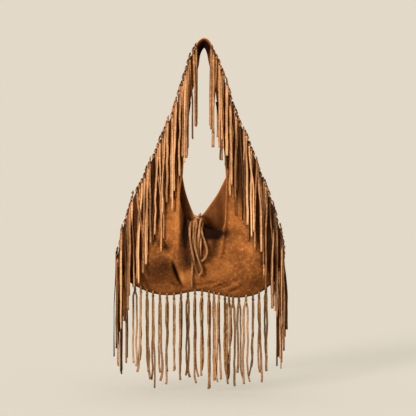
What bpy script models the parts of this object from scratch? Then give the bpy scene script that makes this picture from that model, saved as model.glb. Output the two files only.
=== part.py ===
"""A slouchy suede shoulder bag: two panels laced together along their outer edges and hem.

Front is -Y, +X is to the right seen from the front, and the origin is under the top of the
strap, where a hook or a shoulder holds the bag.
"""

import bisect
import math

import bpy

MM = 0.001

# Leather
PANEL_THICKNESS = 1.6 * MM
EDGE_DEPTH = 1.2 * MM            # panel's middle surface from the bag's mid plane at a laced edge
STRAP_WIDTH = 23 * MM
STRAP_THICKNESS = 1.6 * MM
SHOULDER_Z = -262 * MM           # where the horns grow out of the body
HORN_TOP_Z = -112 * MM
HOLE_INSET = 6 * MM              # lacing holes from the outer edge
SLOT_HEIGHT = 4.6 * MM
SLOT_SPARE = 2.4 * MM            # a slot is this much wider than what goes through it
CUTTER_REACH = 60 * MM           # further out than the fullest place of the bag
CLEARANCE = 0.6 * MM

# Laces
LACE_WIDTH = 5.5 * MM
LACE_THICKNESS = 1.3 * MM
LAYER_STEP = 2.4 * MM            # side laces hang outside the ones under them
SIDE_LENGTH = 184 * MM
SIDE_GROUPS = 15                 # three neighbouring laces in each group
STRAP_GROUPS = 4                 # the groups that hang from the strap, each side
STRAP_LIFT = 4 * MM              # height of a strap group's loop above its upper lace's place
SIDE_TRIM = 0.8 * MM             # taken off each side of a group, so that neighbours stay apart
SIDE_REACH = 1.5 * MM            # half the width of leather a side lace is kept clear of
SIDE_RAGGED = 12 * MM            # how much the cut ends of the side laces vary
SIDE_FANNED = 0.6                # share of the edge's slope that the tops of a group follow
FIRST_HOLE = 0.03                # share of the edge's length above the first side lace
LAST_GROUP_WIDE = 10 * MM        # the lowest group hangs straight below the corner
LAST_GROUP_OUT = 9 * MM
LAST_GROUP_UP = 8 * MM
NEXT_GROUP_OUT = 5 * MM          # the group above it stops short of it
HEM_RAGGED = 14 * MM             # how much the back tails of the hem differ from the front ones
HEM_X = [-139, -127, -115, -103, -89, -75, -61, -47, -33, -19, -5,
         9, 19, 29, 41, 49, 57, 69, 83, 97, 109, 123]
HEM_TIP_Z = [-640, -652, -666, -684, -670, -676, -650, -668, -662, -674, -660,
             -686, -672, -668, -676, -664, -680, -668, -676, -660, -672, -650]

# Outlines, (height, distance to the right) and, for the hem, (distance to the right, height)
LEFT_EDGE = [(-466, -157), (-450, -168), (-432, -174), (-407, -171), (-355, -160), (-300, -140),
             (-244, -112), (-175, -82), (-138, -65), (-112, -57), (-73, -44), (-30, -31), (-2, -16)]
RIGHT_EDGE = [(-462, 143), (-448, 151), (-418, 160), (-380, 154), (-305, 131), (-264, 115),
              (-201, 92), (-137, 63), (-112, 55), (-73, 42), (-30, 27), (-2, 13)]
LEFT_INNER = [(-262, -44), (-218, -41), (-168, -35), (-112, -27)]
RIGHT_INNER = [(-262, 43), (-208, 39), (-157, 30), (-112, 22)]
HEM = [(-157, -466), (-137, -480), (-104, -494), (-66, -498), (-14, -490), (30, -498),
       (66, -503), (104, -496), (131, -478), (143, -462)]
FRONT_NECK = [(-44, -262), (-49, -300), (-44, -330), (-29, -350), (-14, -349), (-2, -362),
              (18, -368), (34, -366), (40, -354), (42, -320), (43, -262)]
BACK_NECK = [(-44, -262), (-38, -292), (-28, -322), (-20, -338), (-12, -343), (-3, -336),
             (12, -316), (27, -294), (36, -276), (43, -262)]
# Half the bag's thickness down its middle, and how far in from an edge it is reached
FULLNESS = [(-505, 24), (-430, 33), (-350, 26), (-262, 15), (-180, 7), (-112, 1.6)]
ROUNDING = [(-505, 95), (-350, 80), (-262, 42), (-180, 32), (-112, 26)]
TIE_X, TIE_Z, TIE_REACH, TIE_PINCH = -14 * MM, -345 * MM, 27 * MM, 0.86

# Strap: middle line (right, height) and its twist from facing front to lying across the hook
STRAP_LINE = [(-43, -127), (-36, -90), (-29, -60), (-22, -31), (-15, -10), (-8, 3), (0, 8.5),
              (7, 3), (13, -10), (19, -30), (26, -58), (33, -90), (40, -127)]
TWIST_FROM, TWIST_TO, TWIST = -70 * MM, -4 * MM, math.radians(52)

# Tie: (right, back, height) through the hole, then (right, height, distance in front of the
# front panel's middle surface) along the bow
TIE_RADIUS = 1.5 * MM
FRONT_TIE_START = [(-19, 1, -357), (-19, -5, -357), (-19, -13, -357), (-21, -18, -352)]
FRONT_TIE_BOW = [(-27, -353, 10), (-29, -374, 8), (-26, -400, 8), (-22, -421, 8), (-17, -446, 8),
                 (-11, -457, 8), (-5, -448, 8), (-9, -433, 10), (-14, -418, 12), (-19, -396, 13),
                 (-18, -374, 13), (-16, -354, 16), (-18, -345, 17), (-20, -352, 13), (-22, -368, 5.5),
                 (-23, -396, 4.2), (-24, -430, 4.2), (-25, -460, 4.2), (-25.5, -482, 4.2)]
BACK_TIE_START = [(-9, 1, -352), (-9, 6, -352), (-9, 12, -351), (-9, 13, -345), (-9, 6, -337.5),
                  (-9, -4, -336.5), (-9, -12, -341)]
BACK_TIE_BOW = [(-8, -352, 10), (-5, -374, 8), (1, -392, 8), (5, -409, 8), (2, -421, 8),
                (-6, -428, 8), (-12, -420, 8), (-13, -400, 8), (-11, -376, 9), (-9, -356, 15),
                (-6, -346, 15), (-4, -354, 9), (-7, -376, 4.6), (-8, -400, 4.2), (-8, -424, 4.2)]

SUEDE = (0.30, 0.125, 0.042)
LACE_SUEDE = (0.42, 0.19, 0.075)


# ---------------------------------------------------------------- outlines and depth

def smooth_value(points, at):
    """Smooth curve through (position, value) points with rising positions, in metres."""
    at = at / MM
    places = [p for p, _ in points]
    i = min(max(bisect.bisect_right(places, at) - 1, 0), len(points) - 2)
    (x0, y0), (x1, y1) = points[i], points[i + 1]
    before = points[i - 1] if i else points[i]
    after = points[i + 2] if i + 2 < len(points) else points[i + 1]
    span = x1 - x0
    start = (y1 - before[1]) / (x1 - before[0]) * span
    end = (after[1] - y0) / (after[0] - x0) * span
    t = min(max((at - x0) / span, 0), 1)
    a, b = 2 * t ** 3 - 3 * t ** 2 + 1, t ** 3 - 2 * t ** 2 + t
    return (a * y0 + b * start + (1 - a) * y1 + (t ** 3 - t ** 2) * end) * MM


def smooth_path(points, t):
    """Point at the share t of the length of a smooth line through points, in metres."""
    lengths = [0]
    for p, q in zip(points, points[1:]):
        lengths.append(lengths[-1] + math.dist(p, q))
    at = t * lengths[-1] * MM
    return tuple(smooth_value([(s, p[k]) for s, p in zip(lengths, points)], at)
                 for k in range(len(points[0])))


def depth(x, z):
    """Half the bag's thickness at a place seen from the front."""
    inward = min(x - smooth_value(LEFT_EDGE, z), smooth_value(RIGHT_EDGE, z) - x)
    inward = max(min(inward, z - smooth_value(HEM, x)), 0)
    reach = min(inward / smooth_value(ROUNDING, z), 1)
    full = smooth_value(FULLNESS, z) * (1 - (1 - reach) ** 2)
    away = ((x - TIE_X) ** 2 + (z - TIE_Z) ** 2) / TIE_REACH ** 2
    return EDGE_DEPTH + full * (1 - TIE_PINCH * math.exp(-away))


def strap_twist(z):
    """0 where the strap faces front, most where it lies across the hook."""
    t = min(max((z - TWIST_FROM) / (TWIST_TO - TWIST_FROM), 0), 1)
    return t * t * (3 - 2 * t) * TWIST


def strap_half_depth(z):
    return 0.5 * STRAP_WIDTH * math.sin(strap_twist(z)) + STRAP_THICKNESS


# ---------------------------------------------------------------- objects

def material(name, colour, roughness):
    made = bpy.data.materials.new(name)
    made.use_nodes = True
    shader = made.node_tree.nodes["Principled BSDF"]
    shader.inputs["Base Color"].default_value = (*colour, 1)
    shader.inputs["Roughness"].default_value = roughness
    shader.inputs["Metallic"].default_value = 0
    return made


def add_object(name, mesh, collection, finish=None):
    made = bpy.data.objects.new(name, mesh)
    collection.objects.link(made)
    if finish:
        mesh.materials.append(finish)
    return made


def add_sheet(name, points, faces, thickness, collection, finish):
    """An open surface made solid, equally to both sides."""
    mesh = bpy.data.meshes.new(name)
    mesh.from_pydata(points, [], faces)
    made = add_object(name, mesh, collection, finish)
    solid = made.modifiers.new("Thickness", "SOLIDIFY")
    solid.thickness = thickness
    solid.offset = 0
    solid.use_even_offset = True
    return made


def grid_faces(columns, rows, first=0):
    """Faces of a grid of points listed row by row."""
    faces = []
    for row in range(rows - 1):
        for column in range(columns - 1):
            a = first + row * columns + column
            faces.append((a, a + 1, a + columns + 1, a + columns))
    return faces


# ---------------------------------------------------------------- panels

HORN_COLUMNS, NECK_COLUMNS = 4, 14
BODY_ROWS, HORN_ROWS = 13, 9


def mix(p, q, t):
    return tuple(a + (b - a) * t for a, b in zip(p, q))


def neck_row(neck):
    """The body's top row: across the left horn, along the neckline, across the right horn."""
    left = [(smooth_value(LEFT_EDGE, SHOULDER_Z), SHOULDER_Z), (neck[0][0] * MM, SHOULDER_Z)]
    right = [(neck[-1][0] * MM, SHOULDER_Z), (smooth_value(RIGHT_EDGE, SHOULDER_Z), SHOULDER_Z)]
    row = [mix(left[0], left[1], i / HORN_COLUMNS) for i in range(HORN_COLUMNS)]
    row += [smooth_path(neck, i / NECK_COLUMNS) for i in range(NECK_COLUMNS + 1)]
    row += [mix(right[0], right[1], i / HORN_COLUMNS) for i in range(1, HORN_COLUMNS + 1)]
    return row


def body_points(neck):
    """Rows of (x, z) from the hem up to the neckline, between the two outer edges."""
    top = neck_row(neck)
    last = len(top) - 1
    hem = [smooth_path(HEM, i / last) for i in range(last + 1)]
    rows = []
    for j in range(BODY_ROWS + 1):
        up = j / BODY_ROWS
        row = [mix(low, high, up) for low, high in zip(hem, top)]
        left_z, right_z = row[0][1], row[-1][1]
        left_shift = smooth_value(LEFT_EDGE, left_z) - row[0][0]
        right_shift = smooth_value(RIGHT_EDGE, right_z) - row[-1][0]
        rows.append([(x + left_shift * (1 - i / last) ** 2 + right_shift * (i / last) ** 2, z)
                     for i, (x, z) in enumerate(row)])
    return rows


def add_panel(name, side, neck, collection, finish):
    """side is -1 for the front and 1 for the back."""
    rows = body_points(neck)
    width = len(rows[0])
    flat = [p for row in rows for p in row]
    faces = grid_faces(width, len(rows))
    top = (len(rows) - 1) * width
    for corner, outer, inner in ((top, LEFT_EDGE, LEFT_INNER),
                                 (top + width - 1 - HORN_COLUMNS, RIGHT_INNER, RIGHT_EDGE)):
        below = list(range(corner, corner + HORN_COLUMNS + 1))
        for j in range(1, HORN_ROWS + 1):
            z = SHOULDER_Z + (HORN_TOP_Z - SHOULDER_Z) * j / HORN_ROWS
            ends = smooth_value(outer, z), smooth_value(inner, z)
            start = len(flat)
            flat += [(ends[0] + (ends[1] - ends[0]) * i / HORN_COLUMNS, z)
                     for i in range(HORN_COLUMNS + 1)]
            here = list(range(start, len(flat)))
            faces += [(below[i], below[i + 1], here[i + 1], here[i]) for i in range(HORN_COLUMNS)]
            below = here
    points = [(x, side * depth(x, z), z) for x, z in flat]
    if side > 0:
        faces = [tuple(reversed(face)) for face in faces]
    return add_sheet(name, points, faces, PANEL_THICKNESS, collection, finish)


# ---------------------------------------------------------------- strap

STRAP_STEPS = 30


def add_strap(collection, finish):
    points = []
    for i in range(STRAP_STEPS + 1):
        x, z = smooth_path(STRAP_LINE, i / STRAP_STEPS)
        ahead = smooth_path(STRAP_LINE, min(i / STRAP_STEPS + 0.01, 1))
        behind = smooth_path(STRAP_LINE, max(i / STRAP_STEPS - 0.01, 0))
        along = math.atan2(ahead[1] - behind[1], ahead[0] - behind[0])
        twist = strap_twist(z)
        for across in (-0.5, -0.17, 0.17, 0.5):
            out = across * STRAP_WIDTH * math.cos(twist)
            points.append((x - out * math.sin(along), -across * STRAP_WIDTH * math.sin(twist),
                           z + out * math.cos(along)))
    return add_sheet("shoulder_strap", points, grid_faces(4, STRAP_STEPS + 1),
                     STRAP_THICKNESS, collection, finish)


# ---------------------------------------------------------------- laces

def hanging_line(x, top, tip, steps, side, layer, half_width=0.0):
    """A tail falling straight down over the bag: out to its fullest place, then free."""
    line = []
    reach = 0
    for i in range(steps + 1):
        z = top + (tip - top) * i / steps
        for near in (x - half_width, x, x + half_width):
            over = min(max(near, smooth_value(LEFT_EDGE, z)), smooth_value(RIGHT_EDGE, z))
            reach = max(reach, depth(over, z) if z > smooth_value(HEM, over) else 0)
        if z > HORN_TOP_Z:
            reach = max(reach, strap_half_depth(z))
        gap = 0.5 * (PANEL_THICKNESS + LACE_THICKNESS) + CLEARANCE + layer * LAYER_STEP
        line.append((x, side * (reach + gap), z))
    return line


def hem_hole(x):
    return smooth_value(HEM, x) + HOLE_INSET + 0.5 * SLOT_HEIGHT


def add_hem_lace(number, x, tip, collection, finish):
    """One lace through both panels just above the hem, a tail hanging each side."""
    hole = hem_hole(x)
    half = 0.5 * LACE_WIDTH
    front = hanging_line(x, hole, tip, 4, -1, 0, half)
    back = hanging_line(x, hole, tip + HEM_RAGGED * math.sin(3 * number), 4, 1, 0, half)
    line = list(reversed(front)) + back
    points = [(px + shift, py, pz) for px, py, pz in line for shift in (-half, half)]
    return add_sheet(f"hem_lace_{number:02d}", points, grid_faces(2, len(line)),
                     LACE_THICKNESS, collection, finish)


def edge_places(edge):
    """Heights of the group boundaries along an outer edge, top to bottom."""
    line = [(x, z) for z, x in reversed(edge)]
    return [smooth_path(line, FIRST_HOLE + (1 - FIRST_HOLE) * i / SIDE_GROUPS)
            for i in range(SIDE_GROUPS + 1)]


def add_side_group(name, start, end, inward, order, collection, finish):
    """Three neighbouring laces as one stepped curtain, front and back, joined at their hole.

    Returns the group and, unless it hangs from the strap, its slot's place and width.
    """
    on_strap = order < STRAP_GROUPS
    inset = 0 if on_strap else inward * HOLE_INSET
    outer_x, inner_x = end[0], start[0]
    corner = order == SIDE_GROUPS - 1
    if order == SIDE_GROUPS - 2:
        outer_x = start[0] - inward * NEXT_GROUP_OUT
    if corner:
        outer_x = end[0] - inward * LAST_GROUP_OUT
        inner_x = outer_x + inward * LAST_GROUP_WIDE
    trim = SIDE_TRIM * inward
    xs = [outer_x + trim + (inner_x - outer_x - 2 * trim) * i / 3 + inset for i in range(4)]
    middle_z = 0.5 * (start[1] + end[1])
    hole = end[1] + LAST_GROUP_UP if corner else middle_z
    if on_strap:
        hole = start[1] + STRAP_LIFT
    layer = 0 if corner else 2 if on_strap else 1
    slope = 0 if corner else (start[1] - end[1]) / 3
    columns = []
    for i, x in enumerate(xs):
        rise = SIDE_FANNED * slope * {0: -1, 3: 1}.get(i, 0)
        if on_strap:
            rise = min(rise, 0)
        length = SIDE_LENGTH + SIDE_RAGGED * math.sin(5 * order + 2 * i)
        top = hole + rise
        front = hanging_line(x, top, top - length, 5, -1, layer, SIDE_REACH)
        back = hanging_line(x, top, top - 0.97 * length, 5, 1, layer, SIDE_REACH)
        if on_strap:
            widest = strap_half_depth(hole) + SIDE_REACH
            front = [(px, min(py, -widest), pz) for px, py, pz in front]
            back = [(px, max(py, widest), pz) for px, py, pz in back]
        columns.append(list(reversed(front)) + back)
    rows = len(columns[0])
    points = [columns[c][r] for r in range(rows) for c in range(4)]
    faces = grid_faces(4, rows)
    bridge = 3 * (rows // 2 - 1)
    faces = [f for n, f in enumerate(faces) if n not in (bridge, bridge + 2)]
    if inward < 0:
        faces = [tuple(reversed(face)) for face in faces]
    made = add_sheet(name, points, faces, LACE_THICKNESS, collection, finish)
    return made, None if on_strap else (0.5 * (xs[1] + xs[2]), hole, abs(xs[2] - xs[1]))


# ---------------------------------------------------------------- tie

TIE_POINTS = 66


def tie_route(start, bow):
    """Through the hole, then the bow's loops and tail in front of the panel, in millimetres."""
    return start + [(x, -depth(x * MM, z * MM) / MM - lift, z) for x, z, lift in bow]


def add_tie(name, start, bow, collection, finish):
    route = tie_route(start, bow)
    curve = bpy.data.curves.new(name, "CURVE")
    curve.dimensions = "3D"
    curve.bevel_depth = TIE_RADIUS
    curve.bevel_resolution = 1
    curve.use_fill_caps = True
    curve.render_resolution_u = 0
    spline = curve.splines.new("POLY")
    spline.points.add(TIE_POINTS - 1)
    for i, point in enumerate(spline.points):
        point.co = (*smooth_path(route, i / (TIE_POINTS - 1)), 1)
    curve.materials.append(finish)
    made = bpy.data.objects.new(name, curve)
    collection.objects.link(made)
    return made


# ---------------------------------------------------------------- lacing slots

def add_slots(places, collection, side=0):
    """One cutter of many bars along Y, one for each lacing slot.

    side is -1 to cut the front panel only, 1 for the back one, and 0 for both.
    """
    ends = {-1: (-CUTTER_REACH, 0), 0: (-CUTTER_REACH, CUTTER_REACH), 1: (0, CUTTER_REACH)}[side]
    points, faces = [], []
    for x, z, width in places:
        half = 0.5 * (width + SLOT_SPARE), 0.5 * SLOT_HEIGHT
        first = len(points)
        for y in ends:
            points += [(x - half[0], y, z - half[1]), (x + half[0], y, z - half[1]),
                       (x + half[0], y, z + half[1]), (x - half[0], y, z + half[1])]
        faces += [tuple(first + i for i in face) for face in
                  ((0, 1, 2, 3), (7, 6, 5, 4), (0, 4, 5, 1), (1, 5, 6, 2), (2, 6, 7, 3), (3, 7, 4, 0))]
    mesh = bpy.data.meshes.new("slots")
    mesh.from_pydata(points, [], faces)
    cutter = add_object("slots", mesh, collection)
    cutter.hide_render = True
    cutter.display_type = "WIRE"
    return cutter


def cut(target, cutter):
    hole = target.modifiers.new("Slots", "BOOLEAN")
    hole.operation = "DIFFERENCE"
    hole.object = cutter
    hole.solver = "EXACT"


def main():
    for old in list(bpy.data.objects):
        bpy.data.objects.remove(old)
    bag = bpy.data.collections.new("fringed_suede_bag")
    tools = bpy.data.collections.new("cutters")
    bpy.context.scene.collection.children.link(bag)
    bpy.context.scene.collection.children.link(tools)
    suede = material("Suede", SUEDE, 0.92)
    lace = material("LaceSuede", LACE_SUEDE, 0.88)

    panels = [add_panel("front_panel", -1, FRONT_NECK, bag, suede),
              add_panel("back_panel", 1, BACK_NECK, bag, suede)]
    add_strap(bag, suede)
    tie_slots = [add_slots([(x * MM, z * MM, LACE_WIDTH)], tools, side)
                 for side, (x, _, z) in ((-1, FRONT_TIE_START[0]), (1, BACK_TIE_START[0]))]
    slots = []
    for number, (x, tip) in enumerate(zip(HEM_X, HEM_TIP_Z), 1):
        add_hem_lace(number, x * MM, tip * MM, bag, lace)
        slots.append((x * MM, hem_hole(x * MM), LACE_WIDTH))
    for side, edge, inward in (("left", LEFT_EDGE, 1), ("right", RIGHT_EDGE, -1)):
        places = edge_places(edge)
        for order, (start, end) in enumerate(zip(places, places[1:])):
            name = f"{side}_laces_{order + 1:02d}"
            slot = add_side_group(name, start, end, inward, order, bag, lace)[1]
            if slot:
                slots.append(slot)
    add_tie("tie_lace_front", FRONT_TIE_START, FRONT_TIE_BOW, bag, lace)
    add_tie("tie_lace_back", BACK_TIE_START, BACK_TIE_BOW, bag, lace)
    lacing = add_slots(slots, tools)
    for panel, tie_slot in zip(panels, tie_slots):
        cut(panel, lacing)
        cut(panel, tie_slot)


main()
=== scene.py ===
"""Looks of the fringed suede bag: its suede panels, strap, laces and bow, in a pale studio.

Lengths in the tables are in millimetres, from under the top of the strap: x to the right, z up,
and y to the back. Everything else is in metres.
"""

import bisect
import math
import random

import bpy
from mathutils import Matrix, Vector, noise


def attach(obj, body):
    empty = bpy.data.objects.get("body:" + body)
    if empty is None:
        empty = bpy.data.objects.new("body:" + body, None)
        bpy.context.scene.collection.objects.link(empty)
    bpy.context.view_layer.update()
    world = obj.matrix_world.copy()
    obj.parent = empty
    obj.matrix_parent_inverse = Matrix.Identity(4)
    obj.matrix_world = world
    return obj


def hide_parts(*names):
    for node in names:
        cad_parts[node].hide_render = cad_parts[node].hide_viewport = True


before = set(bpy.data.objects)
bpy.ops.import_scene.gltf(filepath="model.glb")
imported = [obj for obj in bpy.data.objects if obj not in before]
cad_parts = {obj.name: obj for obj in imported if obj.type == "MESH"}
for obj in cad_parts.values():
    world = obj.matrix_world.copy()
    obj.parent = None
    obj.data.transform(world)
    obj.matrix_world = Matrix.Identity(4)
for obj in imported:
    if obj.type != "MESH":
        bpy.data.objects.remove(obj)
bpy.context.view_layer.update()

MM = 0.001

# ---------------------------------------------------------------- sizes

PANEL_THICKNESS = 1.5 * MM
EDGE_DEPTH = 1.2 * MM            # half the bag's thickness at its laced edges
STRAP_WIDTH, STRAP_LENGTH = 23 * MM, 0.29
STRAP_THICKNESS = 1.6 * MM
SHOULDER_Z = -262 * MM           # where the panel parts into its two horns
HORN_TOP_Z = -112 * MM           # where the horns meet the strap
HOLE_INSET = 6 * MM              # from an edge to its lacing holes
LACE_WIDTH = 5.4 * MM
LACE_THICKNESS = 1.3 * MM
SIDE_LENGTH = 184 * MM           # of a side lace's tail
SIDE_GROUPS, LACES_PER_GROUP = 15, 3    # down each edge, and in each lacing slot
CLUMP, CLUMP_PULL = 4, 1.7 * MM  # laces that hang as one bunch, and how far each leans into it
APEX_PULL = 2.8 * MM             # how far the highest bunch leans into the strap's loop
APEX_LACES, APEX_LENGTH = 2 * CLUMP, 0.87    # the highest laces are cut shorter
LONG_LACES = 7                   # the lowest laces, which are cut longer

# Where the side laces bunch out past the edge: (up, how far out)
LEFT_STEPS = [(-22, 2), (-66, 2), (-104, 3), (-144, 6), (-186, 2.5), (-229, 4), (-298, 7),
              (-356, 7), (-408, 6)]
RIGHT_STEPS = [(-30, 3), (-72, 4), (-118, 2), (-160, 4), (-223, 5), (-266, 3), (-318, 4), (-362, 6)]

# Where each hem lace goes through, and how far down it reaches
HEM_X = [-139, -127, -115, -103, -89, -75, -61, -47, -33, -19, -5,
         9, 19, 29, 41, 49, 57, 69, 83, 97, 109, 123]
HEM_TIP_Z = [-640, -652, -666, -684, -670, -676, -650, -668, -662, -674, -660,
             -686, -672, -668, -676, -664, -680, -668, -676, -660, -672, -650]

# Outlines: the edges as (up, right), the hem and the necklines as (right, up)
LEFT_EDGE = [(-466, -157), (-450, -168), (-432, -174), (-407, -171), (-355, -160), (-300, -140),
             (-244, -112), (-175, -82), (-138, -65), (-112, -57), (-73, -44), (-30, -31), (-2, -16)]
RIGHT_EDGE = [(-462, 143), (-448, 151), (-418, 160), (-380, 154), (-305, 131), (-264, 115),
              (-201, 92), (-137, 63), (-112, 55), (-73, 42), (-30, 27), (-2, 13)]
LEFT_INNER = [(-262, -44), (-218, -41), (-168, -35), (-112, -27)]
RIGHT_INNER = [(-262, 43), (-208, 39), (-157, 30), (-112, 22)]
HEM = [(-157, -466), (-137, -480), (-104, -494), (-66, -498), (-14, -490), (30, -498),
       (66, -503), (104, -496), (131, -478), (143, -462)]
FRONT_NECK = [(-44, -262), (-49, -300), (-44, -330), (-29, -350), (-14, -349), (-2, -362),
              (18, -368), (34, -366), (40, -354), (42, -320), (43, -262)]
BACK_NECK = [(-44, -262), (-38, -292), (-28, -322), (-20, -338), (-12, -343), (-3, -336),
             (12, -316), (27, -294), (36, -276), (43, -262)]
# (up, half the thickness at the middle) and (up, how far in from the edges it gets so full)
FULLNESS = [(-505, 24), (-430, 33), (-350, 26), (-262, 15), (-180, 7), (-112, 1.6)]
ROUNDING = [(-505, 95), (-350, 80), (-262, 42), (-180, 32), (-112, 26)]
# Where the tie draws the panels together, how far round it and how much
TIE_X, TIE_Z, TIE_REACH, TIE_PINCH = -14 * MM, -345 * MM, 27 * MM, 0.86
# The strap's middle line (right, up), and how it turns towards its top
STRAP_LINE = [(-43, -127), (-36, -90), (-29, -60), (-22, -31), (-15, -10), (-8, 3), (0, 8.5),
              (7, 3), (13, -10), (19, -30), (26, -58), (33, -90), (40, -127)]
TWIST_FROM, TWIST_TO, TWIST = -70 * MM, -4 * MM, math.radians(52)

# Tie laces: (right, back, up) where they come out, then (right, up, in front of the panel)
TIE_WIDTH = 5.6 * MM
FRONT_TIE_START = [(-19, 1, -357), (-19, -5, -357), (-19, -13, -357), (-21, -18, -352)]
FRONT_TIE_BOW = [(-27, -353, 10), (-29, -374, 8), (-26, -400, 8), (-22, -421, 8), (-17, -446, 8),
                 (-11, -457, 8), (-5, -448, 8), (-9, -433, 10), (-14, -418, 12), (-19, -396, 13),
                 (-18, -374, 13), (-16, -354, 16), (-18, -345, 17), (-20, -352, 13), (-22, -368, 5.5),
                 (-23, -396, 4.2), (-24, -430, 4.2), (-25, -460, 4.2), (-25.5, -482, 4.2)]
BACK_TIE_START = [(-9, 1, -352), (-9, 6, -352), (-9, 12, -351), (-9, 13, -345), (-9, 6, -337.5),
                  (-9, -4, -336.5), (-9, -12, -341)]
BACK_TIE_BOW = [(-8, -352, 10), (-5, -374, 8), (1, -392, 8), (5, -409, 8), (2, -421, 8),
                (-6, -428, 8), (-12, -420, 8), (-13, -400, 8), (-11, -376, 9), (-9, -356, 15),
                (-6, -346, 15), (-4, -354, 9), (-7, -376, 4.6), (-8, -400, 4.2), (-8, -424, 4.2)]

# Darker (negative) and paler patches of the panels: (right, up, half width, half height, change of
# tone); the darkest are painted shade under the right front neckline, beside the ridge left of the bow,
# and on the back panel below the front neckline and by its left edge. A tone of 0 is the darkest
# painted shade, 0.5 plain suede and 1 pale (rubbed wear, and painted highlights).
FRONT_PATCHES_AND_SHADE = [
    (-35, -462, 17, 15, 0.80), (-76, -402, 20, 14, -0.04), (-66, -416, 5, 13, 0.24),
    (-76, -440, 14, 20, -0.06), (30, -452, 30, 20, 0.24), (72, -420, 28, 34, 0.14),
    (-64, -335, 16, 46, 0.12), (62, -330, 18, 50, 0.12), (-96, -446, 44, 40, -0.24),
    # (15, -373) and (-37, -375) are painted shade
    (-64, -440, 26, 36, -0.10), (15, -373, 32, 11, -0.86), (-37, -375, 11, 50, -0.42),
    (-30, -432, 16, 24, -0.24), (12, -402, 22, 26, -0.20), (66, -452, 60, 40, -0.02),
    (-57, -350, 6, 50, 0.16), (-8, -392, 16, 30, -0.16), (96, -474, 40, 16, -0.14),
]
BACK_PATCHES_AND_SHADE = [
    # (16, -380) and (-50, -318) are painted shade
    (16, -380, 60, 20, -0.26), (-50, -318, 16, 60, -0.30), (60, -430, 46, 40, 0.16),
    (-70, -440, 40, 30, 0.12), (10, -470, 30, 16, -0.16),
]

# Folds of the panels: line (right, up), width, how far it stands out (in, when negative)
FRONT_FOLDS = [
    ([(-50, -268), (-50, -330), (-50, -378), (-52, -416)], 5.5, 4.0),
    ([(-41, -300), (-40, -350), (-41, -400)], 7, -3.6),
    ([(43, -250), (42, -308), (39, -364), (34, -400), (27, -436)], 5, 3.6),
    ([(30, -372), (24, -402), (18, -432)], 8, -3.0),
    ([(-94, -388), (-77, -399), (-64, -414)], 7, -4.0),
    ([(-88, -410), (-67, -421), (-52, -440)], 9, 4.0),
    ([(-63, -430), (-53, -460), (-38, -494)], 3.4, -6.0),
    ([(-52, -434), (-42, -462), (-30, -486)], 7, 4.0),
    ([(-64, -472), (-52, -482), (-40, -492)], 2.8, -3.0),
    ([(-46, -476), (-34, -488)], 2.4, -2.4),
    ([(-14, -486), (6, -488), (26, -480), (44, -474)], 2.6, -2.6),
    ([(14, -490), (34, -484), (52, -477)], 2.4, -2.2),
    ([(30, -492), (52, -484), (74, -472)], 5, 3.0),
    ([(44, -494), (66, -485)], 2.6, -2.2),
    ([(-36, -474), (-10, -479), (22, -472)], 4, -2.4),
    ([(60, -400), (80, -430), (84, -462)], 16, -3.5),
    ([(92, -392), (100, -430)], 13, 3.0),
]
BACK_FOLDS = [
    ([(-60, -300), (-66, -380), (-58, -450)], 12, 5.0),
    ([(-30, -360), (-22, -430), (-30, -480)], 9, -4.0),
    ([(38, -300), (46, -380), (36, -456)], 12, 5.0),
    ([(90, -380), (78, -440), (84, -480)], 8, -4.0),
    ([(-110, -400), (-96, -450)], 12, 3.0),
]

# ---------------------------------------------------------------- colours

# Linear red, green and blue
SUEDE = (0.33, 0.106, 0.024)
SUEDE_DARK = (0.120, 0.036, 0.008)
# Paler suede: rubbed wear, the colour of painted highlights on the panel, and the raw edges.
SUEDE_WORN_AND_HIGHLIGHT = (0.56, 0.205, 0.050)
# The colour low tones darken to: painted shade in creases, in lace gaps, under the laces and the
# neckline and on the strap; also the darker patches.
SUEDE_PAINTED_SHADE = (0.009, 0.003, 0.0012)
SUEDE_INSIDE = (0.20, 0.064, 0.018)
STRAP_BROWN = (0.110, 0.038, 0.013)
LACE = (0.44, 0.185, 0.066)
LACE_DARK = (0.110, 0.038, 0.012)
HEM_LACE = (0.34, 0.145, 0.040)
LACE_PALE = (0.86, 0.47, 0.215)
BACKDROP = (0.761, 0.694, 0.578)

SEED = 11
dice = random.Random(SEED)


# ---------------------------------------------------------------- outlines and depth

def smooth_value(points, at):
    """Smooth curve through (position, value) points with rising positions, in metres."""
    at = at / MM
    places = [p[0] for p in points]
    i = min(max(bisect.bisect_right(places, at) - 1, 0), len(points) - 2)
    (x0, y0), (x1, y1) = points[i], points[i + 1]
    before = points[i - 1] if i else points[i]
    after = points[i + 2] if i + 2 < len(points) else points[i + 1]
    span = x1 - x0
    start = (y1 - before[1]) / (x1 - before[0]) * span
    end = (after[1] - y0) / (after[0] - x0) * span
    t = min(max((at - x0) / span, 0), 1)
    a, b = 2 * t ** 3 - 3 * t ** 2 + 1, t ** 3 - 2 * t ** 2 + t
    return (a * y0 + b * start + (1 - a) * y1 + (t ** 3 - t ** 2) * end) * MM


def smooth_line(points, steps):
    """Evenly spaced points along a smooth line through points, in metres."""
    lengths = [0]
    for p, q in zip(points, points[1:]):
        lengths.append(lengths[-1] + math.dist(p, q))
    tables = [[(s, p[k]) for s, p in zip(lengths, points)] for k in range(len(points[0]))]
    return [tuple(smooth_value(table, lengths[-1] * MM * i / steps) for table in tables)
            for i in range(steps + 1)]


def smooth_step(t):
    """0 up to t = 0 and 1 from t = 1, with a soft rise between."""
    t = min(max(t, 0), 1)
    return t * t * (3 - 2 * t)


def depth(x, z):
    """Half the bag's thickness at a place seen from the front."""
    inward = min(x - smooth_value(LEFT_EDGE, z), smooth_value(RIGHT_EDGE, z) - x)
    inward = max(min(inward, z - smooth_value(HEM, x)), 0)
    reach = min(inward / smooth_value(ROUNDING, z), 1)
    full = smooth_value(FULLNESS, z) * (1 - (1 - reach) ** 2)
    away = ((x - TIE_X) ** 2 + (z - TIE_Z) ** 2) / TIE_REACH ** 2
    return EDGE_DEPTH + full * (1 - TIE_PINCH * math.exp(-away))


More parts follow.
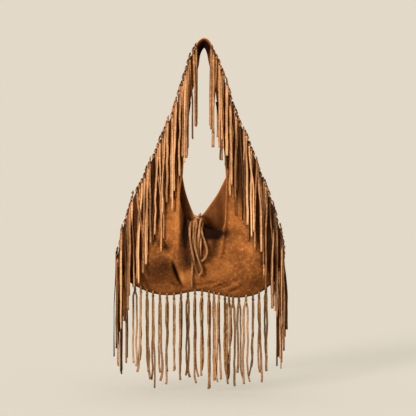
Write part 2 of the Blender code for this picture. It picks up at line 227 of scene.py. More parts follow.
def line_distance(x, z, line):
    """Distance in millimetres from a point to a line of points, and how far along it is."""
    best, place = 1e9, 0
    for i, ((ax, az), (bx, bz)) in enumerate(zip(line, line[1:])):
        dx, dz = bx - ax, bz - az
        t = min(max(((x - ax) * dx + (z - az) * dz) / (dx * dx + dz * dz), 0), 1)
        away = math.hypot(x - ax - t * dx, z - az - t * dz)
        if away < best:
            best, place = away, (i + t) / (len(line) - 1)
    return best, place


FOLD_HEIGHT = 2.0                # how much bolder the folds stand than their tables say
# Creases of the folds are darkened with painted shade, their ridges paled by wear.
CREASE_PAINTED_SHADE, RIDGE_TONE = 2.2, 0.26
SETTLED = 30 * MM                # the folds die out towards the laced edges
BROAD_WAVES, SMALL_WAVES = (2.4, 17), (0.8, 60)     # height, waves to the metre


def relief(x, z, folds):
    """Height of the folds at a place, in metres, and their tone: creases darkened with painted shade,
    ridges worn.
    """
    height = tone = 0
    for line, width, rise in folds:
        away, place = line_distance(x / MM, z / MM, line)
        if away > 3 * width:
            continue
        strength = math.exp(-(away / width) ** 2) * (0.35 + 0.65 * math.sin(math.pi * place))
        height += FOLD_HEIGHT * rise * strength
        # painted shade in the creases, paler wear on the ridges
        tone += (RIDGE_TONE if rise > 0 else CREASE_PAINTED_SHADE / width) * rise / 4 * strength
    inward = min(x - smooth_value(LEFT_EDGE, z), smooth_value(RIGHT_EDGE, z) - x,
                 z - smooth_value(HEM, x))
    settle = smooth_step(inward / SETTLED)
    for (high, often), offset in ((BROAD_WAVES, 3.1), (SMALL_WAVES, 1.7)):
        height += high * noise.noise(Vector((x, offset * len(folds), z)) * often)
    return height * settle * MM, tone * settle


def strap_twist(z):
    """How far the strap has turned at a height."""
    return smooth_step((z - TWIST_FROM) / (TWIST_TO - TWIST_FROM)) * TWIST


def strap_half_depth(z):
    """How far the turned strap stands out from the mid plane at a height."""
    return 0.5 * STRAP_WIDTH * math.sin(strap_twist(z)) + STRAP_THICKNESS


# ---------------------------------------------------------------- shader node groups

def new_group(name, inputs, outputs):
    """A node group with named inputs (kind, default) and outputs (kind)."""
    tree = bpy.data.node_groups.new(name, "ShaderNodeTree")
    for label, (kind, value) in inputs.items():
        socket = tree.interface.new_socket(label, in_out="INPUT", socket_type="NodeSocket" + kind)
        socket.default_value = value
    for label, kind in outputs.items():
        tree.interface.new_socket(label, in_out="OUTPUT", socket_type="NodeSocket" + kind)
    return tree, tree.nodes.new("NodeGroupInput"), tree.nodes.new("NodeGroupOutput")


def put(tree, kind, links=None, **settings):
    """Add a node, set its properties, and set or link its inputs."""
    made = tree.nodes.new(kind)
    for key, value in settings.items():
        setattr(made, key, value)
    for key, value in (links or {}).items():
        if isinstance(value, bpy.types.NodeSocket):
            tree.links.new(value, made.inputs[key])
        else:
            made.inputs[key].default_value = value
    return made


def blend_colours(tree, share, low, high, way="MIX"):
    """A share of the high colour over the low one; each may be a socket or a value."""
    made = put(tree, "ShaderNodeMix", data_type="RGBA", blend_type=way)
    for index, value in ((0, share), (6, low), (7, high)):
        if isinstance(value, bpy.types.NodeSocket):
            tree.links.new(value, made.inputs[index])
        else:
            made.inputs[index].default_value = value if index == 0 else (*value[:3], 1)
    return made.outputs[2]


def spread(tree, value, low, high, to_low=0.0, to_high=1.0):
    """The value's range low..high spread out to to_low..to_high."""
    made = put(tree, "ShaderNodeMapRange",
               {"Value": value, "From Min": low, "From Max": high, "To Min": to_low, "To Max": to_high})
    return made.outputs["Result"]


# Layers of the nap: detail, roughness and distortion of the noise, then the part of its range that
# is spread out to 0..1
NAP_LAYERS = {"Patches": (3.0, 0.55, 0.6, 0.36, 0.64), "Mottles": (4.0, 0.6, 0.4, 0.34, 0.66),
              "Flecks": (2.0, 0.6, 0.0, 0.34, 0.66), "Fibres": (3.0, 0.7, 0.0, 0.3, 0.7)}
NAP_SCALES = (22.0, 130.0, 330.0, 900.0)           # how many of each to the metre
PANEL_SCALES = (32.0, 175.0, 310.0, 1000.0)
LACE_SCALES = (30.0, 210.0, 480.0, 1100.0)
MOTTLE_HEIGHT = 0.55                               # of the height of the fibres


def nap_group():
    """Suede nap: cloudy patches, brushed mottles, flecks and fine fibres, all in object space."""
    tree, given, out = new_group(
        "suede_nap",
        {label + " Scale": ("Float", scale) for label, scale in zip(NAP_LAYERS, NAP_SCALES)},
        {label: "Float" for label in (*NAP_LAYERS, "Height")})
    place = put(tree, "ShaderNodeTexCoord").outputs["Object"]
    layers = {}
    for label, (detail, roughness, distortion, low, high) in NAP_LAYERS.items():
        layer = put(tree, "ShaderNodeTexNoise",
                    {"Vector": place, "Scale": given.outputs[label + " Scale"], "Detail": detail,
                     "Roughness": roughness, "Distortion": distortion})
        layers[label] = layer.outputs["Fac"]
        tree.links.new(spread(tree, layers[label], low, high), out.inputs[label])
    height = put(tree, "ShaderNodeMath", {0: layers["Mottles"], 1: MOTTLE_HEIGHT}, operation="MULTIPLY")
    total = put(tree, "ShaderNodeMath", {0: height.outputs[0], 1: layers["Fibres"]}, operation="ADD")
    tree.links.new(total.outputs[0], out.inputs["Height"])
    return tree


NAP = nap_group()


# How much of a suede's mottle each layer of its nap takes
MOTTLE_SHARE, BRUSH_SHARE, FLECK_SHARE = 0.75, 0.60, 0.55
DARK_MOTTLES, PALE_MOTTLES = (0.35, 1), (0.40, 0)   # the parts of the noise that are brushed each way
PLAIN_TONE = 0.5
FIBRE_SHADES, ROUGHNESS = (0.62, 1.34), (0.82, 0.97)
NAP_RELIEF = 0.6 * MM


def suede_material(name, base, dark, pale, painted_shade, mottle, bump, scales=NAP_SCALES):
    """Brushed suede, darker where the tone attribute is low (painted shade, and darker patches) and
    paler where it is high (rubbed wear, and painted highlights).
    """
    made = bpy.data.materials.new(name)
    made.use_nodes = True
    tree = made.node_tree
    shader = tree.nodes["Principled BSDF"]
    nap = put(tree, "ShaderNodeGroup", node_tree=NAP)
    for label, scale in zip(NAP_LAYERS, scales):
        nap.inputs[label + " Scale"].default_value = scale
    tone = put(tree, "ShaderNodeAttribute", attribute_name="tone").outputs["Fac"]
    clouds = spread(tree, nap.outputs["Patches"], 0, 1, 0.0, mottle)
    colour = blend_colours(tree, clouds, base, dark)
    mottles = spread(tree, nap.outputs["Mottles"], *DARK_MOTTLES, 0.0, MOTTLE_SHARE * mottle)
    colour = blend_colours(tree, mottles, colour, dark)
    brushed = spread(tree, nap.outputs["Mottles"], *PALE_MOTTLES, 0.0, BRUSH_SHARE * mottle)
    colour = blend_colours(tree, brushed, colour, pale)
    # Tone above plain pales the colour: rubbed wear, and painted highlights.
    paling_and_painted_light = spread(tree, tone, PLAIN_TONE, 1.0)
    colour = blend_colours(tree, paling_and_painted_light, colour, pale)
    flecks = spread(tree, nap.outputs["Flecks"], 0, 1, FLECK_SHARE * mottle, 0.0)
    colour = blend_colours(tree, flecks, colour, dark)
    # Tone below plain darkens towards the painted shade colour.
    painted_shade_share = spread(tree, tone, PLAIN_TONE, 0.0)
    colour = blend_colours(tree, painted_shade_share, colour, painted_shade)
    fibres = spread(tree, nap.outputs["Fibres"], 0, 1, *FIBRE_SHADES)
    grey = put(tree, "ShaderNodeCombineColor", {"Red": fibres, "Green": fibres, "Blue": fibres})
    colour = blend_colours(tree, 1.0, colour, grey.outputs["Color"], "MULTIPLY")
    tree.links.new(colour, shader.inputs["Base Color"])
    rough = spread(tree, nap.outputs["Mottles"], 0, 1, *ROUGHNESS)
    tree.links.new(rough, shader.inputs["Roughness"])
    bumps = put(tree, "ShaderNodeBump", {"Height": nap.outputs["Height"], "Strength": bump,
                                         "Distance": NAP_RELIEF})
    tree.links.new(bumps.outputs["Normal"], shader.inputs["Normal"])
    shader.inputs["Specular IOR Level"].default_value = 0.03
    shader.inputs["Sheen Weight"].default_value = 0.03
    shader.inputs["Sheen Roughness"].default_value = 0.45
    shader.inputs["Sheen Tint"].default_value = (1.0, 0.58, 0.30, 1)
    return made


def suede_finishes():
    """Every suede of the bag by name: its colours from base to painted shade, mottle, relief and
    scales.
    """
    looks = {
        "panel": (SUEDE, SUEDE_DARK, SUEDE_WORN_AND_HIGHLIGHT, SUEDE_PAINTED_SHADE, 0.72, 0.9, PANEL_SCALES),
        "inside": (SUEDE_INSIDE, SUEDE_DARK, SUEDE, SUEDE_PAINTED_SHADE, 0.6, 0.5),
        "raw_edge": (SUEDE_WORN_AND_HIGHLIGHT, SUEDE, LACE, SUEDE_DARK, 0.6, 0.6),
        "strap": (STRAP_BROWN, SUEDE_DARK, SUEDE, SUEDE_PAINTED_SHADE, 0.6, 0.5),
        "lace": (LACE, LACE_DARK, LACE_PALE, SUEDE_PAINTED_SHADE, 0.45, 0.5, LACE_SCALES),
        "hem_lace": (HEM_LACE, LACE_DARK, LACE_PALE, SUEDE_PAINTED_SHADE, 0.5, 0.5, LACE_SCALES),
    }
    return {name: suede_material(name + "_suede", *look) for name, look in looks.items()}


# ---------------------------------------------------------------- meshes

def add_mesh(name, points, faces, finishes, tones=None):
    """A smooth mesh in the scene, with a tone at each point."""
    mesh = bpy.data.meshes.new(name)
    mesh.from_pydata(points, [], faces)
    for finish in finishes:
        mesh.materials.append(finish)
    if tones:
        layer = mesh.attributes.new("tone", "FLOAT", "POINT")
        layer.data.foreach_set("value", tones)
    mesh.shade_smooth()
    made = bpy.data.objects.new(name, mesh)
    bpy.context.scene.collection.objects.link(made)
    return made


def thicken(piece, thickness):
    """Solid leather, with its raw cut edge in the second material."""
    solid = piece.modifiers.new("Thickness", "SOLIDIFY")
    solid.thickness = thickness
    solid.offset = 0
    solid.use_even_offset = True
    solid.material_offset = 2
    solid.material_offset_rim = 1


def grid_faces(columns, rows):
    """The quads of a grid of points that was laid out row by row."""
    return [(r * columns + c, r * columns + c + 1, (r + 1) * columns + c + 1, (r + 1) * columns + c)
            for r in range(rows - 1) for c in range(columns - 1)]


LACE_EDGE_PAINTED_SHADE = 0.42                # how much darker the sides of a lace are painted than its middle: painted shade in the gaps between laces
END_RUB, LACE_CUP = 0.10, 0.06   # a lace is paler towards its end, and its section is a little cupped
RIBBON_SECTION = [(-1, -0.4), (-1, 0.4), (-0.82, 1), (-0.3, 1), (0.3, 1), (0.82, 1),
                  (1, 0.4), (1, -0.4), (0.82, -1), (0.3, -1), (-0.3, -1), (-0.82, -1)]


def ribbon_mesh(laces):
    """Points, faces and tones of flat laces, each a path of (place, across), a width and a shade."""
    points, faces, tones = [], [], []
    for path, width, shade in laces:
        first = len(points)
        count = len(RIBBON_SECTION)
        for i, (place, across) in enumerate(path):
            ahead = path[min(i + 1, len(path) - 1)][0]
            behind = path[max(i - 1, 0)][0]
            along = (ahead - behind).normalized()
            wide = (across - along * across.dot(along)).normalized()
            out = along.cross(wide)
            for u, v in RIBBON_SECTION:
                cup = LACE_CUP * width * (u * u - 0.5)
                points.append(place + wide * (0.5 * width * u) + out * (0.5 * LACE_THICKNESS * v + cup))
                # paler towards the end, and painted shade darkening both sides of the lace
                paling_and_painted_light = shade + END_RUB * (i / (len(path) - 1) - 0.4) - LACE_EDGE_PAINTED_SHADE * abs(u) ** 3
                tones.append(min(max(paling_and_painted_light, 0), 1))
        for i in range(len(path) - 1):
            for j in range(count):
                a, b = first + i * count + j, first + i * count + (j + 1) % count
                faces.append((a, a + count, b + count, b))
        faces.append(tuple(first + j for j in range(count)))
        faces.append(tuple(first + (len(path) - 1) * count + j for j in reversed(range(count))))
    return points, faces, tones


# ---------------------------------------------------------------- panels

HORN_COLUMNS, NECK_COLUMNS, BODY_ROWS, HORN_ROWS = 24, 84, 104, 64

# Tones of the open leather, and what the folds, neckline, hem and hanging laces change in them: painted
# shade in the creases and under the hanging laces, a painted highlight along the back neckline, and
# darker along the hem
FRONT_TONE, BACK_TONE, FOLD_SHARE = 0.44, 0.5, 0.7
NECK_PAINTED_HIGHLIGHT, NECK_PAINTED_HIGHLIGHT_REACH = 0.6, 3
HEM_DARKENING, HEM_DARKENING_REACH = 0.30, 5
CURTAIN_PAINTED_SHADOW, CURTAIN_SPAN, CURTAIN_FADE = 0.36, 0.96, 0.16     # spans are shares of SIDE_LENGTH


def mix(p, q, t):
    """The point t of the way from p to q."""
    return tuple(a + (b - a) * t for a, b in zip(p, q))


def neck_row(neck):
    """Points across the shoulders, from edge to edge, dipping along the neckline."""
    left = [(smooth_value(LEFT_EDGE, SHOULDER_Z), SHOULDER_Z), (neck[0][0] * MM, SHOULDER_Z)]
    right = [(neck[-1][0] * MM, SHOULDER_Z), (smooth_value(RIGHT_EDGE, SHOULDER_Z), SHOULDER_Z)]
    row = [mix(left[0], left[1], i / HORN_COLUMNS) for i in range(HORN_COLUMNS)]
    row += smooth_line(neck, NECK_COLUMNS)
    row += [mix(right[0], right[1], i / HORN_COLUMNS) for i in range(1, HORN_COLUMNS + 1)]
    return row


def body_rows(neck):
    """Rows of (x, z) from the hem up to the neckline, between the two outer edges."""
    top = neck_row(neck)
    last = len(top) - 1
    hem = smooth_line(HEM, last)
    rows = []
    for j in range(BODY_ROWS + 1):
        row = [mix(low, high, j / BODY_ROWS) for low, high in zip(hem, top)]
        left_shift = smooth_value(LEFT_EDGE, row[0][1]) - row[0][0]
        right_shift = smooth_value(RIGHT_EDGE, row[-1][1]) - row[-1][0]
        rows.append([(x + left_shift * (1 - i / last) ** 2 + right_shift * (i / last) ** 2, z)
                     for i, (x, z) in enumerate(row)])
    return rows


def panel_outline(neck):
    """Places (x, z) and faces of a flat panel: its body and the two horns above it."""
    rows = body_rows(neck)
    width = len(rows[0])
    flat = [p for row in rows for p in row]
    faces = grid_faces(width, len(rows))
    top = (len(rows) - 1) * width
    for corner, outer, inner in ((top, LEFT_EDGE, LEFT_INNER),
                                 (top + width - 1 - HORN_COLUMNS, RIGHT_INNER, RIGHT_EDGE)):
        below = list(range(corner, corner + HORN_COLUMNS + 1))
        for j in range(1, HORN_ROWS + 1):
            z = SHOULDER_Z + (HORN_TOP_Z - SHOULDER_Z) * j / HORN_ROWS
            ends = smooth_value(outer, z), smooth_value(inner, z)
            start = len(flat)
            flat += [(ends[0] + (ends[1] - ends[0]) * i / HORN_COLUMNS, z)
                     for i in range(HORN_COLUMNS + 1)]
            here = list(range(start, len(flat)))
            faces += [(below[i], below[i + 1], here[i + 1], here[i]) for i in range(HORN_COLUMNS)]
            below = here
    return flat, faces


def painted_curtain_shadow(x, z):
    """Painted shadow of the hanging side laces: 1 under them, 0 on open leather."""
    edge = LEFT_EDGE[2:] if x < 0 else RIGHT_EDGE[2:]      # from the widest place up
    hole_z = smooth_value(sorted((abs(ex), ez) for ez, ex in edge), abs(x))
    tips_z = hole_z - CURTAIN_SPAN * SIDE_LENGTH
    return smooth_step((z - tips_z) / (CURTAIN_FADE * SIDE_LENGTH))


def panel_tone(x, z, fold_tone, side):
    """Paler low in the middle, darker in the lobes and along the hem; painted shade under the neckline,
    in the creases and under the side laces; a painted highlight along the back neckline.
    """
    tone = (FRONT_TONE if side < 0 else BACK_TONE) + FOLD_SHARE * fold_tone
    for cx, cz, half_wide, half_high, amount in FRONT_PATCHES_AND_SHADE if side < 0 else BACK_PATCHES_AND_SHADE:
        away = ((x / MM - cx) / half_wide) ** 2 + ((z / MM - cz) / half_high) ** 2
        tone += amount * math.exp(-away)
    # Painted highlight along the back panel's neckline edge.
    if side > 0:
        neck_away = line_distance(x / MM, z / MM, BACK_NECK)[0]
        tone += NECK_PAINTED_HIGHLIGHT * math.exp(-(neck_away / NECK_PAINTED_HIGHLIGHT_REACH) ** 2)
    # Darker along the hem.
    above_hem = (z - smooth_value(HEM, x)) / MM
    tone -= HEM_DARKENING * math.exp(-(above_hem / HEM_DARKENING_REACH) ** 2)
    # Painted shadow under the hanging side laces.
    tone -= CURTAIN_PAINTED_SHADOW * painted_curtain_shadow(x, z)
    return min(max(tone, 0), 1)


def add_panel(name, side, neck, folds, finishes):
    """One panel, bulging to the front (side -1) or to the back (side 1), with its folds."""
    flat, faces = panel_outline(neck)
    points, tones = [], []
    for x, z in flat:
        height, fold_tone = relief(x, z, folds)
        points.append((x, side * (depth(x, z) + height), z))
        tones.append(panel_tone(x, z, fold_tone, side))
    if side > 0:
        faces = [tuple(reversed(face)) for face in faces]
    made = add_mesh(name + "_suede", points, faces,
                    [finishes["panel"], finishes["raw_edge"], finishes["inside"]], tones)
    thicken(made, PANEL_THICKNESS)
    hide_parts(name)
    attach(made, "root")
    return made


# ---------------------------------------------------------------- strap

STRAP_STEPS, STRAP_COLUMNS = 120, 13
STRAP_PAINTED_SHADE, CROWN_PAINTED_HIGHLIGHT = 0.24, 0.66                # tone of the legs, darkened as painted shade, and of the rim at the bend, paled as a painted highlight
CROWN_FROM, CROWN_REACH = -30 * MM, 24 * MM
STRAP_CURL, STRAP_RIPPLE, STRAP_SWELL = 1.6, 0.5, 0.05    # mm, mm, and a share of its width


def add_strap(finishes):
    """The strap: a strip that turns on its way up and lies over its support, wavy and curled."""
    line = smooth_line(STRAP_LINE, STRAP_STEPS)
    points, tones = [], []
    for i, (x, z) in enumerate(line):
        ahead, behind = line[min(i + 1, STRAP_STEPS)], line[max(i - 1, 0)]
        along = math.atan2(ahead[1] - behind[1], ahead[0] - behind[0])
        twist = strap_twist(z)
        for c in range(STRAP_COLUMNS):
            across = c / (STRAP_COLUMNS - 1) - 0.5
            wide = across * STRAP_WIDTH * (1 + STRAP_SWELL * math.sin(0.35 * i))
            ripple = STRAP_RIPPLE * math.sin(0.21 * i + 5 * across)
            curl = (STRAP_CURL * math.cos(6 * across) + ripple) * MM
            out = wide * math.cos(twist) + curl * math.sin(twist)
            back = -wide * math.sin(twist) - curl * math.cos(twist)
            points.append((x - out * math.sin(along), back, z + out * math.cos(along)))
            # Painted shade on the legs; at the top of the bend, a painted highlight on one rim and
            # painted shade on the other half.
            crown = smooth_step((z - CROWN_FROM) / CROWN_REACH)
            rim = smooth_step((across + 0.05) / 0.5)
            tones.append(STRAP_PAINTED_SHADE + crown * (CROWN_PAINTED_HIGHLIGHT * rim - STRAP_PAINTED_SHADE))
    made = add_mesh("strap_suede", points, grid_faces(STRAP_COLUMNS, STRAP_STEPS + 1),
                    [finishes["strap"], finishes["raw_edge"], finishes["panel"]], tones)
    thicken(made, STRAP_THICKNESS)
    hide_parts("shoulder_strap")
    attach(made, "root")
    return made


# ---------------------------------------------------------------- laces

def surface_reach(x, z):
    """How far the leather stands out from the mid plane at a place, 0 past its edges."""
    if z > HORN_TOP_Z:
        return strap_half_depth(z)
    x = min(max(x, smooth_value(LEFT_EDGE, z)), smooth_value(RIGHT_EDGE, z))
    return depth(x, z) if z > smooth_value(HEM, x) else 0


def wobble(seed, t, size):
    """The small kinks of a limp lace, none at its top."""
    return size * smooth_step(3 * t) * (noise.noise(Vector((seed, 3.5 * t, 0)))
                                        + 0.5 * noise.noise(Vector((seed, 9 * t, 5))))


TAIL_STEPS = 34
# Most tails fall nearly straight and some stray; drifts are shares of the sway
STRAY_SHARE, STRAIGHT_DRIFT, STRAY_DRIFT, MOST_DRIFT = 0.15, 0.6, 1.4, 1.6
TAIL_KINKS, TAIL_TURN, TAIL_WRITHE = 0.34, 0.75, 0.45
AROUND = 6.3                     # a whole turn, for random phases


def tail_path(x, top, tip, side, lift, sway, clump):
    """A tail falling from its hole, over the bulge of the bag, with a little wave and turn."""
    phase, turn = dice.uniform(0, AROUND), dice.gauss(0, TAIL_TURN)
    drift = dice.gauss(0, STRAIGHT_DRIFT if dice.random() < 1 - STRAY_SHARE else STRAY_DRIFT)
    drift = min(max(drift, -MOST_DRIFT), MOST_DRIFT) * sway
    reach, path = 0, []
    for i in range(TAIL_STEPS + 1):
        t = i / TAIL_STEPS
        z = top + (tip - top) * t
        here = x + (drift + clump) * smooth_step(1.6 * t) + wobble(40 * phase, t, TAIL_KINKS * sway)
        reach = max(reach, surface_reach(here, z))
        out = 0.5 * (PANEL_THICKNESS + LACE_THICKNESS) + lift * smooth_step(5 * t)
        writhe = TAIL_WRITHE * math.sin(3 * t + phase) * smooth_step(3 * t)
        angle = turn * smooth_step(2.5 * t) + writhe
        across = Vector((math.cos(angle), math.sin(angle), 0))
        path.append((Vector((here, side * (reach + out), z)), across))
    return path


LOOP_STEPS, LOOP_LEAN = 16, 0.40
LOOP_GAP, LOOP_TUCK, LOOP_PROUD = 0.9 * MM, 1.5 * MM, 1.4 * MM


def edge_loop(hole, edge, side_out, proud, tilt):
    """The short loop from the front hole over the laced edge to the back hole."""
    x, z = hole
    turned = math.sin(strap_twist(z))
    middle = -0.5 * (STRAP_WIDTH - HOLE_INSET) * turned
    near = (1 - turned) * surface_reach(x, z) + turned * STRAP_THICKNESS + 1.1 * MM
    over = edge + side_out * min(proud, LOOP_PROUD)
    tucked, beside = x - side_out * LOOP_TUCK, 0.4 * x + 0.6 * over
    outer, swung = near + LOOP_GAP, 0.6 * near + 1.2 * MM
    line = [(tucked, LOOP_GAP - near, z - 1 * MM), (x, -outer, z), (beside, -swung, z + 0.5 * tilt),
            (over, -0.4 * MM, z + tilt), (beside, swung, z + 1.4 * tilt), (x, outer, z + 1.6 * tilt),
            (tucked, near - LOOP_GAP, z + 1.6 * tilt)]
    line = [(px / MM, (py + middle) / MM, pz / MM) for px, py, pz in line]
    along_edge = Vector((-side_out * LOOP_LEAN, 0, 1))
    return [(Vector(p), along_edge) for p in smooth_line(line, LOOP_STEPS)]


def add_lace(name, node, laces, finish):
    """One visible lace of several ribbons, in place of a CAD node."""
    points, faces, tones = ribbon_mesh(laces)
    made = add_mesh(name, points, faces, [finish], tones)
    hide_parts(node)
    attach(made, "root")
    return made


STEP_FADE = 20                   # over how far down a step in the edge dies out


def overhang(z, steps):
    """How far a tail hangs outside the edge: most just below each step."""
    passed = [(up, size) for up, size in steps if up >= z / MM]
    if not passed:
        return 0
    up, size = passed[-1]
    return size * math.exp(-((up - z / MM) / STEP_FADE) ** 2) * MM


SIDE_SHADES = (0.22, 0.50, 0.62, 0.74)              # tones of the side laces
APEX_SHADE = 0.48                # the highest laces are no darker than this
DULL_FROM, DULL, LOW_DULL = 20, 0.06, 0.08         # lower laces are duller, the lowest most
LOW_Z, SWAY, LOW_SWAY, APEX_SWAY = -370 * MM, 4.6 * MM, 2.4 * MM, 1.5 * MM
LAYER = 2.6 * MM                 # the tails hang in three layers, this far apart
BUNCH_WAVE, BUNCH_TURN = 2.2 * MM, 0.9
HOLE_DROP = 1.5 * MM


def add_side_laces(side, edge, inward, steps, finish):
    """The laces down one outer edge, three for each CAD curtain."""
    count = SIDE_GROUPS * LACES_PER_GROUP
    line = smooth_line([(x, z) for z, x in reversed(edge)], 4 * count)
    made = []
    for j in range(count):
        edge_x, z = line[round(4 * count * (j + 0.5) / count)]
        high, lowest = j < APEX_LACES, j >= count - LONG_LACES
        proud = overhang(z, steps) + dice.uniform(0, 1.3) * MM
        x = edge_x + inward * (0.5 * HOLE_INSET - proud)
        place = j % CLUMP - 0.5 * (CLUMP - 1)
        clump = -inward * place * CLUMP_PULL * dice.uniform(0.5, 1.5)
        clump += BUNCH_WAVE * math.sin(BUNCH_TURN * j + inward)
        lift = LAYER * ((2 * j) % 3) + dice.uniform(0.5, 2.5) * MM
        length = SIDE_LENGTH * (dice.uniform(0.84, 1.10) + 0.05 * lowest) * (APEX_LENGTH if high else 1)
        sway = LOW_SWAY if z < LOW_Z else SWAY
        if j < CLUMP:
            clump, sway = inward * APEX_PULL * (j if j < CLUMP - 1 else -0.5), APEX_SWAY
        shade = dice.choice(SIDE_SHADES) + dice.uniform(-0.12, 0.10)
        shade -= DULL * (j > DULL_FROM) + LOW_DULL * lowest
        if high:
            shade = max(shade, APEX_SHADE)
        laces = []
        for face, share in ((-1, 1.0), (1, dice.uniform(0.9, 1.02))):
            top = z - HOLE_DROP
            path = tail_path(x, top, top - length * share, face, lift, sway, clump)
            laces.append((path, LACE_WIDTH * (dice.uniform(0.55, 0.98) + 0.15 * high), shade))
        loop = edge_loop((x, z + 1 * MM), edge_x, -inward, proud, dice.uniform(3.0, 7.5) * MM)
        laces.append((loop, LACE_WIDTH * dice.uniform(0.9, 1.1), dice.uniform(0.2, 0.55)))
        node = f"{side}_laces_{j // LACES_PER_GROUP + 1:02d}"
        made.append(add_lace(f"{side}_side_lace_{j + 1:02d}", node, laces, finish))
    return made


KNOT_STEPS, KNOT_TURNS = 18, 1.12


def knot_path(centre, radius, tilt):
    """A small turn of lace wound round both tails."""
    path = []
    for i in range(KNOT_STEPS + 1):
        angle = 2 * math.pi * i / KNOT_STEPS * KNOT_TURNS
        path.append((centre + Vector((radius * math.cos(angle), 0.8 * radius * math.sin(angle),
                                      tilt * math.cos(angle))), Vector((0, 0, 1))))
    return path


HEM_STEPS = 36
HEM_TURN, HEM_KINK, HEM_SWING = 0.6, 1.9 * MM, 2 * MM
HEM_KNOT, HEM_KNOT_WIDTH, HEM_KNOT_SHADE = 2.2 * MM, 3.4 * MM, 0.25


def hem_tail(x, hole, hem, knot, tip, face, apart, wander):
    """One tail of a hem lace: out of its hole, over the hem, through its knot and down."""
    near = surface_reach(x, hole) + 1.2 * MM
    over = [(x, 0, hole), (x, face * near, hole + 0.5 * MM),
            (x, face * (near + 0.8 * MM), hole - 3 * MM),
            (x, face * 4.5 * MM, hem), (x, face * 1.6 * MM, knot)]
    over = [tuple(c / MM for c in p) for p in over]
    shift = (2.6 * apart * face + dice.gauss(0, 1.0)) * MM
    lean, kink = dice.gauss(0, 2.4) * MM, dice.uniform(0, 900)
    flick = dice.gauss(0, 2.6) * MM
    bend = wander + dice.gauss(0, 0.25)
    end = tip + dice.uniform(0, 26) * MM * (face > 0)
    path = [(Vector(p), Vector((1, 0, 0))) for p in smooth_line(over, 10)]
    for i in range(1, HEM_STEPS + 1):
        t = i / HEM_STEPS
        angle = HEM_TURN * math.sin(2.6 * t + bend) * smooth_step(3 * t)
        wave = lean * t * t + wobble(kink, t, HEM_KINK) + flick * max(7 * t - 6, 0) ** 2
        place = Vector((x + shift * smooth_step(9 * t) + wave,
                        face * 1.6 * MM + HEM_SWING * math.sin(4 * t + bend) * t,
                        knot + (end - knot) * t))
        path.append((place, Vector((math.cos(angle), math.sin(angle), 0))))
    return path


def add_hem_laces(finish):
    """The fringe: each lace goes through both panels, is knotted and hangs as two tails."""
    made = []
    for number, (x, tip) in enumerate(zip(HEM_X, HEM_TIP_Z), 1):
        x, tip = x * MM, tip * MM
        hem = smooth_value(HEM, x)
        hole, knot = hem + 0.6 * HOLE_INSET, hem - dice.uniform(5, 9) * MM
        wander, apart = dice.uniform(0, AROUND), dice.choice((-1, 1)) * dice.uniform(0.1, 1.1)
        shade = dice.uniform(0.34, 0.62)
        laces = []
        for face in (-1, 1):
            path = hem_tail(x, hole, hem, knot, tip, face, apart, wander)
            laces.append((path, LACE_WIDTH * dice.uniform(0.66, 0.88), shade))
        knot_turn = knot_path(Vector((x, 0, knot)), HEM_KNOT, dice.uniform(-1.8, 1.8) * MM)
        laces.append((knot_turn, HEM_KNOT_WIDTH, shade - HEM_KNOT_SHADE))
        made.append(add_lace(f"hem_fringe_{number:02d}", f"hem_lace_{number:02d}", laces, finish))
    return made


# ---------------------------------------------------------------- bow

TIE_STEPS = 150
TIE_SHADE, KNOT_SHADE = 0.44, 0.6
TIE_TURN, TIE_TURN_RATE = 0.75, 0.16
BOW_KNOT_X, BOW_KNOT_Z, BOW_KNOT_OUT = -14 * MM, -345 * MM, 11 * MM
BOW_KNOT_RADIUS, BOW_KNOT_WIDTH, BOW_CROSS_WIDTH = 6.2 * MM, 5.5 * MM, 4.6 * MM


def add_tie(name, node, start, bow, finish):
    """A tie lace from inside its panel through its loop of the bow to the end of its tail."""
    route = start + [(x, -depth(x * MM, z * MM) / MM - lift, z) for x, z, lift in bow]
    line = [Vector(p) for p in smooth_line(route, TIE_STEPS)]
    path = []
    for i, place in enumerate(line):
        along = (line[min(i + 1, TIE_STEPS)] - line[max(i - 1, 0)]).normalized()
        turn = TIE_TURN * math.sin(TIE_TURN_RATE * i + 0.6)
        across = along.cross(Vector((math.sin(turn), -math.cos(turn), 0.1)))
        if path and across.dot(path[-1][1]) < 0:
            across = -across
        path.append((place, across))
    points, faces, tones = ribbon_mesh([(path, TIE_WIDTH, TIE_SHADE)])
    made = add_mesh(name, points, faces, [finish], tones)
    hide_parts(node)
    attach(made, "root")
    return made


def add_knot(finish):
    """The bow's knot: one turn across and two crossing it."""
    front = depth(BOW_KNOT_X, BOW_KNOT_Z - 1 * MM) + BOW_KNOT_OUT
    centre = Vector((BOW_KNOT_X, -front, BOW_KNOT_Z))
    laces = [(knot_path(centre, BOW_KNOT_RADIUS, 1.5 * MM), BOW_KNOT_WIDTH, KNOT_SHADE)]
    for lean in (-1, 1):
        line = [(-6.5 * lean, 1.0, -3.5), (-3.5 * lean, -5.5, -0.5), (0, -7.4, 2.6),
                (4.5 * lean, -4.6, 4.6), (6.6 * lean, 1.0, 3.4)]
        path = [(centre + Vector(p), Vector((0.5 * lean, 0, 1))) for p in smooth_line(line, 12)]
        laces.append((path, BOW_CROSS_WIDTH, KNOT_SHADE))
    points, faces, tones = ribbon_mesh(laces)
    made = add_mesh("bow_knot", points, faces, [finish], tones)
    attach(made, "root")
    return made


# ---------------------------------------------------------------- studio

CAMERA_AWAY, FRAME_WIDE, SENSOR = 2.5, 0.832, 36.0
AIM = Vector((0.007, 0, -0.324))
FAR = 200                        # how far the camera sees
AMBIENT, AMBIENT_TINT = 0.13, (1, 0.97, 0.92)
# Strength, softness (the angle the lamp fills) and where the light comes from
LAMPS = {"softbox_key": (4.4, 0.28, Vector((-0.68, -0.95, 0.42))),
         "softbox_above": (5.0, 1.45, Vector((0.0, -0.05, 1.0)))}
FLOOR_GLOW = 0.42                # share of the floor's brightness that no shadow takes away
FLOOR_GAP, FLOOR_REACH = 6 * MM, 60


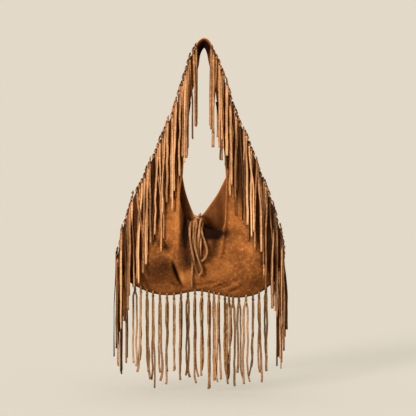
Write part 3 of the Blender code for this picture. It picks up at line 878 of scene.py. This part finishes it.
def add_camera():
    """A long lens level with the middle of the bag."""
    lens = bpy.data.cameras.new("camera")
    lens.sensor_width = SENSOR
    lens.lens = SENSOR * CAMERA_AWAY / FRAME_WIDE
    lens.clip_end = FAR
    made = bpy.data.objects.new("camera", lens)
    made.location = AIM + Vector((0, -CAMERA_AWAY, 0))
    made.rotation_euler = (math.pi / 2, 0, 0)
    bpy.context.scene.collection.objects.link(made)
    bpy.context.scene.camera = made


def add_lamps():
    """Two large soft lamps: one from the front left and one from straight above."""
    for name, (strength, softness, source) in LAMPS.items():
        lamp = bpy.data.lights.new(name, "SUN")
        lamp.energy = strength
        lamp.angle = softness
        made = bpy.data.objects.new(name, lamp)
        made.rotation_euler = source.to_track_quat("Z", "Y").to_euler()
        bpy.context.scene.collection.objects.link(made)


def add_world():
    """Even pale studio: the lens sees the backdrop's colour, the bag gets a softer fill."""
    world = bpy.data.worlds.new("studio")
    world.use_nodes = True
    tree = world.node_tree
    tree.nodes.clear()
    seen = put(tree, "ShaderNodeBackground", {"Color": (*BACKDROP, 1), "Strength": 1.0})
    fill = put(tree, "ShaderNodeBackground", {"Color": (*AMBIENT_TINT, 1), "Strength": AMBIENT})
    ray = put(tree, "ShaderNodeLightPath")
    both = put(tree, "ShaderNodeMixShader", {0: ray.outputs["Is Camera Ray"], 1: fill.outputs[0],
                                             2: seen.outputs[0]})
    put(tree, "ShaderNodeOutputWorld", {"Surface": both.outputs[0]})
    bpy.context.scene.world = world


def add_floor():
    """A pale floor just under the fringe, as bright as the backdrop where nothing shades it."""
    lamps = sum(strength * source.normalized().z / math.pi for strength, _, source in LAMPS.values())
    low = min(HEM_TIP_Z) * MM - FLOOR_GAP
    corners = [(x * FLOOR_REACH, y * FLOOR_REACH, low) for x, y in ((-1, -1), (1, -1), (1, 1), (-1, 1))]
    made = add_mesh("floor", corners, [(0, 1, 2, 3)], [])
    paint = bpy.data.materials.new("pale_floor")
    paint.use_nodes = True
    shader = paint.node_tree.nodes["Principled BSDF"]
    light = [AMBIENT * c + lamps for c in AMBIENT_TINT]
    shaded = 1 - FLOOR_GLOW
    shader.inputs["Base Color"].default_value = (*[shaded * b / l for b, l in zip(BACKDROP, light)], 1)
    shader.inputs["Emission Color"].default_value = (*BACKDROP, 1)
    shader.inputs["Emission Strength"].default_value = FLOOR_GLOW
    shader.inputs["Roughness"].default_value = 1.0
    shader.inputs["Specular IOR Level"].default_value = 0.0
    made.data.materials.append(paint)


# ---------------------------------------------------------------- the bag

def main():
    """The bag's pieces, then the studio round them."""
    bpy.context.scene.view_settings.view_transform = "Standard"
    add_camera()
    finishes = suede_finishes()
    add_tie("tie_front", "tie_lace_front", FRONT_TIE_START, FRONT_TIE_BOW,
            finishes["lace"])
    add_tie("tie_back", "tie_lace_back", BACK_TIE_START, BACK_TIE_BOW,
            finishes["lace"])
    add_knot(finishes["lace"])
    strap = add_strap(finishes)
    front = add_panel("front_panel", -1, FRONT_NECK, FRONT_FOLDS, finishes)
    back = add_panel("back_panel", 1, BACK_NECK, BACK_FOLDS, finishes)
    left = add_side_laces("left", LEFT_EDGE, 1, LEFT_STEPS, finishes["lace"])
    right = add_side_laces("right", RIGHT_EDGE, -1, RIGHT_STEPS, finishes["lace"])
    hem = add_hem_laces(finishes["hem_lace"])
    add_lamps()
    add_world()
    add_floor()


main()
